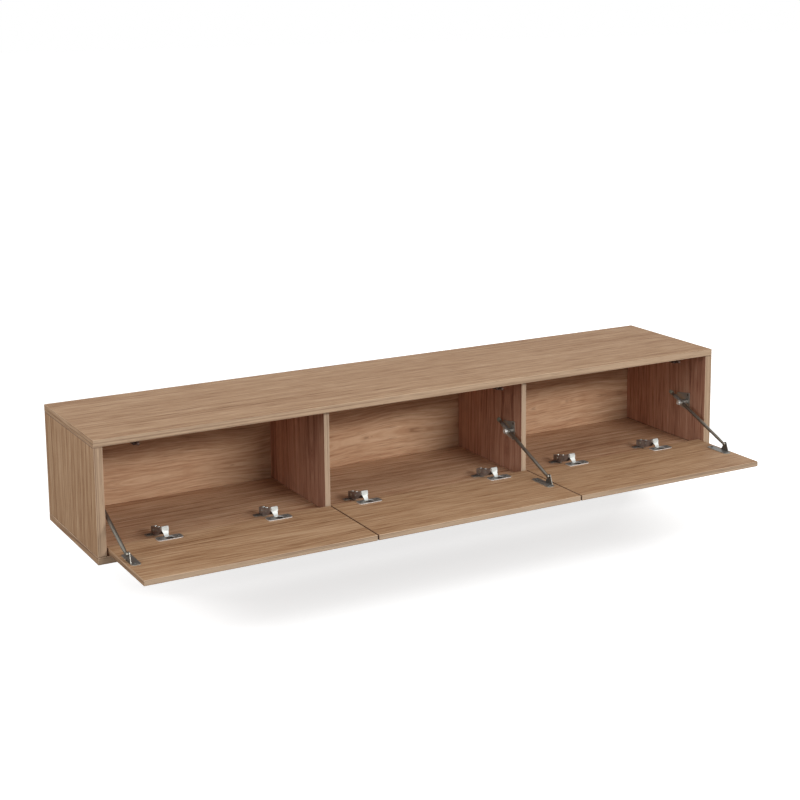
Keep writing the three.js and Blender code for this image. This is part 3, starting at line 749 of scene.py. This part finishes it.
def is_flat_top(height):
    """The test for the flat face on top of a rounded piece that ends at this height."""
    return lambda face: face.normal.z > SQUARELY and face.center.z > height - 0.0001


def settle_place():
    """Puts a new piece's place into its mesh, so that its object sits at the origin."""
    bpy.ops.object.transform_apply(location=True, rotation=True, scale=True)
    return bpy.context.object


def new_box(centre, size):
    bpy.ops.object.select_all(action="DESELECT")
    bpy.ops.mesh.primitive_cube_add(size=1, location=centre, scale=size)
    return settle_place()


def new_block(low, high):
    low, high = Vector(low), Vector(high)
    return new_box((low + high) / 2, high - low)


def new_cylinder(radius, depth, centre, sides=32, turn=(0, 0, 0)):
    bpy.ops.object.select_all(action="DESELECT")
    bpy.ops.mesh.primitive_cylinder_add(
        vertices=sides, radius=radius, depth=depth, location=centre, rotation=turn,
    )
    return settle_place()


def apply_boolean(piece, tool, operation):
    """Cuts the tool out of the piece or joins it on, then throws the tool away."""
    activate(piece)
    made = piece.modifiers.new("shape", "BOOLEAN")
    made.operation = operation
    made.object = tool
    bpy.ops.object.modifier_apply(modifier=made.name)
    bpy.data.objects.remove(tool)


def smooth(piece, angle=SMOOTH_ANGLE):
    """Shades a finished piece smooth but for its real corners."""
    activate(piece)
    bpy.ops.object.shade_smooth_by_angle(angle=angle)
    return piece


def ease_edges(piece, width):
    """Rounds the sharp edges a little and keeps the flats flat."""
    smooth(piece, EASED_ANGLE)
    bevel = piece.modifiers.new("eased edges", "BEVEL")
    bevel.width = width
    bevel.segments = 2
    bevel.limit_method = "ANGLE"
    bevel.angle_limit = EASED_ANGLE
    bpy.ops.object.modifier_apply(modifier=bevel.name)
    bpy.ops.object.shade_smooth_by_angle(angle=EASED_ANGLE)
    flats = piece.modifiers.new("flat faces", "WEIGHTED_NORMAL")
    flats.keep_sharp = True
    bpy.ops.object.modifier_apply(modifier=flats.name)


def place_copy(model, name, body, finish, place, turn=(0, 0, 0)):
    """A copy of a modelled part with its own mesh, finish and name, in its place on its body."""
    activate(model)
    bpy.ops.object.duplicate(linked=False)
    piece = bpy.context.object
    piece.location = place
    piece.rotation_euler = turn
    settle_place()
    piece.name = name
    piece.data.name = name
    piece.data.materials.clear()
    piece.data.materials.append(finish)
    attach(piece, body)
    return piece


# The parts' models, each made once

# Radius, height, rim, how far the cross recess reaches and how wide its slot is
SCREW = (0.0036, 0.0016, 0.0009, 0.0022, 0.0008)
FLAT_SCREW = (0.0036, 0.0004, 0.0002, 0.0022, 0.0008)
SMALL_SCREW = (0.0029, 0.0014, 0.0003, 0.0020, 0.0007)
CAM = (0.0044, 0.0008, 0.0003, 0.0028, 0.0009)
SCREW_SIDES = 28
RECESS_TAPER = 0.55

# Radius and height
RIVET, BOSS = (0.0021, 0.0005), (0.0030, 0.0008)
RIVET_DOME = 0.8
SMALL_SIDES = 24

SIDEWAYS = (0, math.pi / 2, 0)


def model_screw(radius, height, rim, recess, slot_width):
    """A screw head seated at the origin, facing up, with a cross recess."""
    screw = new_cylinder(radius, height, (0, 0, height / 2), sides=SCREW_SIDES)
    round_faces(screw, looks_up, width=rim, segments=3)
    cross = new_box((0, 0, height), (slot_width, slot_width, height))
    pick_faces(cross, lambda face: abs(face.normal.z) < HARDLY)
    arm = recess - slot_width / 2
    bpy.ops.mesh.extrude_faces_move(TRANSFORM_OT_shrink_fatten={"value": arm})
    close_edit()
    pick_faces(cross, looks_down)
    bpy.ops.transform.resize(
        value=(RECESS_TAPER, RECESS_TAPER, 1), center_override=(0, 0, height / 2),
    )
    close_edit()
    apply_boolean(screw, cross, "DIFFERENCE")
    return smooth(screw)


def model_rivet(radius, height):
    """A low domed rivet head seated at the origin, facing up."""
    rivet = new_cylinder(radius, height, (0, 0, height / 2), sides=SMALL_SIDES)
    round_faces(rivet, looks_up, width=height * RIVET_DOME, segments=4)
    return smooth(rivet, RIVET_SMOOTH_ANGLE)


ROD_RADIUS, ROD_LENGTH, ROD_TAPER = 0.0046, 0.26192, 0.032
TAPER_STEPS = ((0.90, 0.97, 1), (0.66, 0.95, 1))
CAP_RADIUS, CAP_LENGTH = 0.0056, 0.0110
EYE_RADIUS, EYE_WIDTH = 0.0048, 0.0050


def model_rod():
    """The rod from its eye at the origin upwards, tapered and flattened towards the eye."""
    bar_end = ROD_LENGTH - CAP_LENGTH / 2
    bar = new_cylinder(ROD_RADIUS, bar_end - ROD_TAPER, (0, 0, (bar_end + ROD_TAPER) / 2))
    pick_faces(bar, looks_down)
    drop = (0, 0, -ROD_TAPER / len(TAPER_STEPS))
    for flatter in TAPER_STEPS:
        bpy.ops.mesh.extrude_region_move(TRANSFORM_OT_translate={"value": drop})
        bpy.ops.transform.resize(value=flatter)
    close_edit()
    eye = new_cylinder(EYE_RADIUS, EYE_WIDTH, (0, 0, 0), turn=SIDEWAYS)
    round_faces(eye, lambda face: abs(face.normal.x) > NEARLY, width=0.0005, segments=2)
    apply_boolean(bar, eye, "UNION")
    return smooth(bar)


def model_cap():
    """The plastic stop on the rod's far end, with a moulded ring and a small dimple."""
    cap = new_cylinder(CAP_RADIUS, CAP_LENGTH, (0, 0, ROD_LENGTH - CAP_LENGTH / 2))
    round_faces(cap, is_an_end, width=0.0014, segments=4)
    pick_faces(cap, is_flat_top(ROD_LENGTH))
    bpy.ops.mesh.inset(thickness=0.0020, depth=0)
    bpy.ops.mesh.inset(thickness=0.0004, depth=-0.0010)
    close_edit()
    return smooth(cap)


SLEEVE_RADIUS, SLEEVE_FRONT, SLEEVE_BACK = 0.0058, 0.034, 0.008
SLEEVE_BORE = 0.0048
HUB_RADIUS, HUB_REACH = 0.0070, 0.0061
NECK_RADIUS, NECK_REACH = 0.0040, 0.0073


def model_sleeve():
    """The sliding sleeve round the rod's line, its hub and its knob neck along X."""
    length = SLEEVE_FRONT + SLEEVE_BACK
    middle = (0, 0, (SLEEVE_BACK - SLEEVE_FRONT) / 2)
    sleeve = new_cylinder(SLEEVE_RADIUS, length, middle)
    round_faces(sleeve, is_an_end, width=0.0005, segments=2)
    hub = new_cylinder(HUB_RADIUS, HUB_REACH, (-HUB_REACH / 2, 0, 0), turn=SIDEWAYS)
    apply_boolean(sleeve, hub, "UNION")
    neck = new_cylinder(NECK_RADIUS, NECK_REACH, (NECK_REACH / 2, 0, 0), turn=SIDEWAYS)
    apply_boolean(sleeve, neck, "UNION")
    bore = new_cylinder(SLEEVE_BORE, length + 0.004, middle)
    apply_boolean(sleeve, bore, "DIFFERENCE")
    return smooth(sleeve)


KNOB_RADIUS, KNOB_LENGTH, KNOB_SIDES = 0.0060, 0.0070, 40


def model_knob():
    """The clamping knob, standing on the origin: a knurled ring with a dished face."""
    knob = new_cylinder(KNOB_RADIUS, KNOB_LENGTH, (0, 0, KNOB_LENGTH / 2), sides=KNOB_SIDES)
    step = 2 * math.pi / KNOB_SIDES

    def in_groove(face):
        around = math.atan2(face.center.y, face.center.x) / step
        return abs(face.normal.z) < HARDLY and round(around - 0.5) % 2 == 0

    round_faces(knob, is_an_end, width=0.0008, segments=2)
    pick_faces(knob, in_groove)
    bpy.ops.mesh.inset(thickness=0.00012, depth=-0.00025, use_individual=True)
    close_edit()
    pick_faces(knob, is_flat_top(KNOB_LENGTH))
    bpy.ops.mesh.inset(thickness=0.0010, depth=0)
    bpy.ops.mesh.inset(thickness=0.0008, depth=-0.0006)
    close_edit()
    return smooth(knob)


PIN_RADIUS, PIN_REACH, PIN_INSIDE = 0.0022, 0.0042, 0.001
PIN_HEAD_RADIUS, PIN_HEAD_HEIGHT = 0.0038, 0.0015


def model_pin():
    """The eye's pin and its round head, from the eye's face outwards."""
    middle = (0, 0, (PIN_REACH - PIN_INSIDE) / 2)
    pin = new_cylinder(PIN_RADIUS, PIN_REACH + PIN_INSIDE, middle, sides=SMALL_SIDES)
    head_at = (0, 0, PIN_REACH + PIN_HEAD_HEIGHT / 2)
    head = new_cylinder(PIN_HEAD_RADIUS, PIN_HEAD_HEIGHT, head_at, sides=SMALL_SIDES)
    round_faces(head, looks_up, width=0.0006, segments=3)
    apply_boolean(pin, head, "UNION")
    return smooth(pin)


EAR_SHEET, EAR_HEIGHT, CROWN_RADIUS = 0.002, 0.021, 0.0055
EAR_FRONT, EAR_BACK = -0.014, 0.018
PIN_HOLE_RADIUS = 0.0024
BRACKET_WIDTH, BRACKET_FRONT, BRACKET_BACK = 0.022, -0.026, 0.056
BRACKET_HOLE_RADIUS, BRACKET_HOLE_IN = 0.002, 0.011
THROUGH = 0.01


def model_flap_bracket(side):
    """The bracket on the flap, with the ear's pin hole at the origin along X and the plate
    to the ear's right (side 1) or left (side -1)."""
    left = 0 if side > 0 else EAR_SHEET - BRACKET_WIDTH
    right = left + BRACKET_WIDTH
    top = EAR_SHEET - EAR_HEIGHT
    plate = new_block((left, BRACKET_FRONT, -EAR_HEIGHT), (right, BRACKET_BACK, top))
    pick_edges(plate, lambda one, other: abs(one.z - other.z) > 0.001)
    bpy.ops.mesh.bevel(offset=BRACKET_WIDTH / 3, segments=8)
    close_edit()
    for end in (BRACKET_FRONT + BRACKET_HOLE_IN, BRACKET_BACK - BRACKET_HOLE_IN):
        hole_at = ((left + right) / 2, end, top)
        hole = new_cylinder(BRACKET_HOLE_RADIUS, THROUGH, hole_at, sides=SMALL_SIDES)
        apply_boolean(plate, hole, "DIFFERENCE")

    ear = new_block((0, EAR_FRONT, 0.0005 - EAR_HEIGHT), (EAR_SHEET, EAR_BACK, 0))
    pick_faces(ear, looks_up)
    bpy.ops.transform.resize(value=(1, 2 * CROWN_RADIUS / (EAR_BACK - EAR_FRONT), 1))
    bpy.ops.transform.translate(value=(0, -(EAR_BACK + EAR_FRONT) / 2, 0))
    close_edit()
    crown = new_cylinder(CROWN_RADIUS, EAR_SHEET, (EAR_SHEET / 2, 0, 0), turn=SIDEWAYS)
    apply_boolean(ear, crown, "UNION")
    pin_hole = new_cylinder(
        PIN_HOLE_RADIUS, THROUGH, (0, 0, 0), sides=SMALL_SIDES, turn=SIDEWAYS,
    )
    apply_boolean(ear, pin_hole, "DIFFERENCE")
    apply_boolean(plate, ear, "UNION")
    ease_edges(plate, 0.0004)
    return plate


def eased_copy(name, body, width):
    """A fitting's own shape with its edges eased, standing for the sharp one."""
    fitting = frame["nodes"][name]
    piece = bpy.data.objects.new(name + "_eased", fitting.data.copy())
    bpy.context.scene.collection.objects.link(piece)
    activate(piece)
    bpy.ops.object.mode_set(mode="EDIT")
    bpy.ops.mesh.select_all(action="SELECT")
    bpy.ops.mesh.remove_doubles(threshold=0.000001)
    bpy.ops.mesh.dissolve_limited(angle_limit=math.radians(0.5))
    close_edit()
    ease_edges(piece, width)
    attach(piece, body)
    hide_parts(name)


# Fitting the parts: places on the fittings, from the edges that each line names

FACING_DOWN = (math.pi, 0, 0)
FACING_OUT = (math.pi / 2, 0, 0)
FACING_WALL = (-math.pi / 2, 0, 0)

# From the middle of the cup and of the mounting plate to either side, and in from the plate's rear
CUP_SCREW_SIDE = 0.0225
PLATE_SCREW_SIDE, PLATE_SCREW_IN = 0.016, 0.008
SHEET = 0.002

# In from the arm's rear end, and up from its foot; its top slopes down to the front
ARM_SLOPE = math.atan2(0.009, 0.047)
ARM_SCREWS_IN, ARM_SCREW_UP = (0.013, 0.036), 0.016
CAM_IN, CAM_UP = 0.017, 0.0105
BOSS_IN, BOSS_UP = 0.043, 0.0165

# In from the link's rear, and down from its top
RIVET_IN, RIVET_DOWN = 0.0035, 0.0055

# The stay's eye above the flap's hinge side, its swivel behind the panel bracket's front edge
EYE_IN = 0.133
SWIVEL_IN = 0.011
PANEL_SCREWS = ((0.007, 0.020), (0.007, -0.020), (0.051, 0.0))
FLAP_SCREWS_IN = (0.011, 0.071)
EAR_GAP = 0.0019
EAR_STARTS = 0.003

# In from the latch housing's rear, and down from its top
LATCH_SCREW_IN, LATCH_SCREW_DOWN = 0.006, 0.003

# Screws along both hanging rails
RAIL_SCREWS = (-0.42, -0.14, 0.14, 0.42)
RAIL_SHEET = 0.0018
CABINET_RAIL_SCREW_UP = 0.0504

# How far the edges of each kind of fitting are eased
EASED_WIDE, EASED_FINE = 0.0006, 0.0003
WIDE_ENDINGS = ("_cup", "_mounting_plate", "_panel_bracket", "_latch_housing", "_latch_plunger")
FINE_ENDINGS = ("_link", "_arm", "_rail")


def side_of(bay):
    """Plus one where the stay stands on the left panel of its bay, minus one on the right."""
    bracket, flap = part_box(bay + "_stay_panel_bracket"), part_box(bay + "_flap")
    return 1 if bracket[0].x + bracket[1].x < flap[0].x + flap[1].x else -1


def flanks(low, high):
    """Numbers a fitting's left and right flank, with where each is and how it faces outwards."""
    return enumerate(((low.x, (0, -math.pi / 2, 0)), (high.x, (0, math.pi / 2, 0))), 1)


def fit_hinge(bay, hinge, models):
    name = "%s_hinge_%s" % (bay, hinge)
    flap_body, link_body = bay + "_flap_group", "%s_link_%s_group" % (bay, hinge)
    low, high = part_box(name + "_cup")
    middle = (low + high) / 2
    for number, side in enumerate((-1, 1), 1):
        place = (middle.x + side * CUP_SCREW_SIDE, middle.y, high.z)
        place_copy(
            models["screw"], "%s_cup_screw_%d" % (name, number), flap_body, SCREW_STEEL, place,
        )
    low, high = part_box(name + "_mounting_plate")
    middle = (low + high) / 2
    for number, side in enumerate((-1, 1), 1):
        place = (middle.x + side * PLATE_SCREW_SIDE, high.y - PLATE_SCREW_IN, low.z + SHEET)
        place_copy(
            models["screw"], "%s_plate_screw_%d" % (name, number), "cabinet", SCREW_STEEL, place,
        )
    low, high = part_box(name + "_arm")
    middle = (low + high) / 2
    for number, back in enumerate(ARM_SCREWS_IN, 1):
        rise = low.z + ARM_SCREW_UP + back * math.tan(ARM_SLOPE)
        place_copy(
            models["small_screw"], "%s_arm_screw_%d" % (name, number), "cabinet", BRIGHT,
            (middle.x, high.y - back, rise), (-ARM_SLOPE, 0, 0),
        )
    for number, (edge, facing) in flanks(low, high):
        cam_at = (edge, high.y - CAM_IN, low.z + CAM_UP)
        place_copy(
            models["cam"], "%s_cam_%d" % (name, number), "cabinet", BRIGHT, cam_at, facing,
        )
        boss_at = (edge, high.y - BOSS_IN, low.z + BOSS_UP)
        place_copy(
            models["boss"], "%s_boss_%d" % (name, number), "cabinet", NICKEL, boss_at, facing,
        )
    low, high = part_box(name + "_link")
    for number, (edge, facing) in flanks(low, high):
        rivet_at = (edge, high.y - RIVET_IN, high.z - RIVET_DOWN)
        place_copy(
            models["rivet"], "%s_rivet_%d" % (name, number), link_body, BRIGHT, rivet_at, facing,
        )


def fit_stay(bay, models):
    name = bay + "_stay"
    flap_body, rod_body = bay + "_flap_group", bay + "_rod_group"
    sleeve_body = bay + "_sleeve_group"
    side = side_of(bay)
    rod_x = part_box(name + "_rod")[0].x + CAP_RADIUS
    flap_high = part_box(bay + "_flap")[1]
    eye = Vector((rod_x, flap_high.y - EYE_IN, flap_high.z + EAR_HEIGHT))
    low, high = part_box(name + "_panel_bracket")
    swivel = Vector((rod_x, low.y + SWIVEL_IN, (low.z + high.z) / 2))
    lean = math.atan2(swivel.z - eye.z, swivel.y - eye.y)
    line = (lean - math.pi / 2, 0, 0)
    turned = line if side > 0 else (math.pi / 2 - lean, math.pi, 0)
    outwards = (0, side * math.pi / 2, 0)

    rod = place_copy(models["rod"], name + "_bar", rod_body, ROD_STEEL, eye, line)
    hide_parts(name + "_rod")
    place_copy(models["cap"], name + "_cap", rod_body, CAP_PLASTIC, eye, line)
    eye_face = (rod_x + EYE_WIDTH / 2, eye.y, eye.z)
    pin = place_copy(models["pin"], name + "_pin", rod_body, BRIGHT, eye_face, SIDEWAYS)
    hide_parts(name + "_rod")
    sleeve = place_copy(models["sleeve"], name + "_slide", sleeve_body, NICKEL, swivel, turned)
    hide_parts(name + "_sleeve")
    knob_at = swivel + Vector((side * NECK_REACH, 0, 0))
    knob = place_copy(
        models["knob"], name + "_clamp_knob", sleeve_body, KNOB_NICKEL, knob_at, outwards,
    )
    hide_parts(name + "_knob")

    plate_face = low.x + SHEET if side > 0 else high.x - SHEET
    for number, (back, up) in enumerate(PANEL_SCREWS, 1):
        place_copy(
            models["flat_screw"], "%s_panel_screw_%d" % (name, number), "cabinet", SCREW_STEEL,
            (plate_face, low.y + back, swivel.z + up), outwards,
        )
    low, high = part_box(name + "_flap_bracket")
    ear_face = rod_x + EYE_WIDTH / 2 + EAR_GAP
    hand = "bracket_right" if high.x - ear_face > ear_face - low.x else "bracket_left"
    bracket = place_copy(
        models[hand], name + "_foot", flap_body, NICKEL, (ear_face, eye.y, eye.z),
    )
    # The ear takes the darker nickel, a painted shade
    bracket.data.materials.append(SHADED_EAR_NICKEL)
    for face in bracket.data.polygons:
        face.material_index = int(face.center.z > low.z + EAR_STARTS)
    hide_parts(name + "_flap_bracket")
    for number, back in enumerate(FLAP_SCREWS_IN, 1):
        place_copy(
            models["screw"], "%s_flap_screw_%d" % (name, number), flap_body, SCREW_STEEL,
            ((low.x + high.x) / 2, low.y + back, low.z + SHEET),
        )


def fit_latch(bay, models):
    low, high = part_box(bay + "_latch_housing")
    place = ((low.x + high.x) / 2, high.y - LATCH_SCREW_IN, high.z - LATCH_SCREW_DOWN)
    place_copy(models["screw"], bay + "_latch_screw", "cabinet", PLASTIC, place, FACING_DOWN)


def fit_rails(models):
    cabinet_rail_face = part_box("cabinet_rail")[0].y + RAIL_SHEET
    for rail, facing, face, up in (
        ("cabinet_rail", FACING_WALL, cabinet_rail_face, CABINET_RAIL_SCREW_UP),
        ("wall_rail", FACING_OUT, -RAIL_SHEET, 0.0),
    ):
        for number, along in enumerate(RAIL_SCREWS, 1):
            place_copy(
                models["screw"], "%s_screw_%d" % (rail, number), "cabinet", SCREW_STEEL,
                (along, face, up), facing,
            )


def ease_fittings():
    for body, names in frame["record"]["behaviour"]["bodies"].items():
        for name in names:
            if name.endswith(WIDE_ENDINGS):
                eased_copy(name, body, EASED_WIDE)
            elif name.endswith(FINE_ENDINGS):
                eased_copy(name, body, EASED_FINE)


def fit_everything():
    models = {
        "screw": model_screw(*SCREW),
        "flat_screw": model_screw(*FLAT_SCREW),
        "small_screw": model_screw(*SMALL_SCREW),
        "rivet": model_rivet(*RIVET),
        "cam": model_screw(*CAM),
        "boss": model_rivet(*BOSS),
        "rod": model_rod(),
        "cap": model_cap(),
        "sleeve": model_sleeve(),
        "knob": model_knob(),
        "pin": model_pin(),
        "bracket_right": model_flap_bracket(1),
        "bracket_left": model_flap_bracket(-1),
    }
    for bay in BAYS:
        for hinge in HINGES:
            fit_hinge(bay, hinge, models)
        fit_stay(bay, models)
        fit_latch(bay, models)
    fit_rails(models)
    for model in models.values():
        bpy.data.objects.remove(model)
    ease_fittings()


fit_everything()

# The room

FLOOR_SIZE, FLOOR_DROP = 60, 0.145
FLOOR_SEEN, FLOOR_LIT = (0.60, 0.60, 0.60, 1), (0.32, 0.32, 0.32, 1)
FLOOR_GLOW = 0.55

# Where the glow starts to rise and where it is full: far off, and, as painted light lifting the
# shadow, past both ends and under the rear
FAR_OFF, LENGTH_COUNTS = (1.0, 3.0), (0.6, 1, 0)
PAST_LEFT, PAST_RIGHT = (-0.5, -1.02), (0.45, 1.1)
UNDER_REAR, UNDER_REAR_GLOW = (-0.44, -0.12), 0.5

SKY_LIT, SKY_SEEN = 0.50, 1.0


def make_floor():
    """White to the camera but for the soft shadow; its bounce on the cabinet stays moderate.
    Its glow is painted light past both ends and under the cabinet's rear, where a white wall would
    light it, lifting the shadow there."""
    material, wire, inputs = new_material("pale_floor", 0.9)
    inputs["Specular IOR Level"].default_value = 0.0
    seen = wire.tree.nodes.new("ShaderNodeLightPath").outputs["Is Camera Ray"]
    wire.put(inputs["Base Color"], wire.mix("RGBA", seen, FLOOR_LIT, FLOOR_SEEN))
    inputs["Emission Color"].default_value = WHITE
    place = wire.tree.nodes.new("ShaderNodeTexCoord").outputs["Object"]
    distance = wire.vector("LENGTH", wire.vector("MULTIPLY", place, LENGTH_COUNTS))
    away = wire.step(distance, *FAR_OFF)
    along, back, _ = wire.parts(place)
    # Painted light past the ends and under the rear lifts the floor's shadow there
    past_left, past_right = wire.step(along, *PAST_LEFT), wire.step(along, *PAST_RIGHT)
    ends = wire.number("MAXIMUM", past_left, past_right)
    under = wire.step(back, *UNDER_REAR, 0.0, UNDER_REAR_GLOW)
    pale = wire.number("MAXIMUM", wire.number("MAXIMUM", away, ends), under)
    glow = wire.number("MULTIPLY_ADD", pale, 1.0 - FLOOR_GLOW, FLOOR_GLOW)
    wire.put(inputs["Emission Strength"], wire.number("MULTIPLY", seen, glow))
    bpy.ops.object.select_all(action="DESELECT")
    floor_at = (0, 0, cad_low.z - FLOOR_DROP)
    bpy.ops.mesh.primitive_plane_add(size=FLOOR_SIZE, location=floor_at)
    floor = bpy.context.object
    floor.name = "floor"
    floor.data.materials.append(material)


def make_light(name, place, aim, width, height, power):
    data = bpy.data.lights.new(name, "AREA")
    data.shape = "RECTANGLE"
    data.size = width
    data.size_y = height
    data.energy = power
    lamp = bpy.data.objects.new(name, data)
    lamp.location = place
    look = Vector(aim) - Vector(place)
    lamp.rotation_euler = look.to_track_quat("-Z", "Y").to_euler()
    bpy.context.scene.collection.objects.link(lamp)


def make_sky():
    """Soft white light from all round, pure white where it is seen or mirrored."""
    world = bpy.data.worlds.new("studio")
    world.use_nodes = True
    bpy.context.scene.world = world
    wire = Wiring(world.node_tree)
    sky = world.node_tree.nodes["Background"].inputs
    sky["Color"].default_value = WHITE
    rays = world.node_tree.nodes.new("ShaderNodeLightPath").outputs
    seen = wire.number("MAXIMUM", rays["Is Camera Ray"], rays["Is Glossy Ray"])
    seen = wire.number("MAXIMUM", seen, rays["Is Transmission Ray"])
    wire.put(sky["Strength"], wire.mix("FLOAT", seen, SKY_LIT, SKY_SEEN))


def make_room():
    cabinet = (0, -0.2, -0.05)
    make_floor()
    make_light("key_light", (1.9, -6.7, 2.7), cabinet, 3.6, 0.8, 330)
    make_light("top_light", (0.2, -1.7, 5.2), cabinet, 3.0, 3.0, 46)
    make_light("side_light", (-5.0, -1.2, 1.6), cabinet, 2.4, 2.4, 97)
    make_sky()


make_room()
bpy.context.scene.view_settings.view_transform = "Standard"
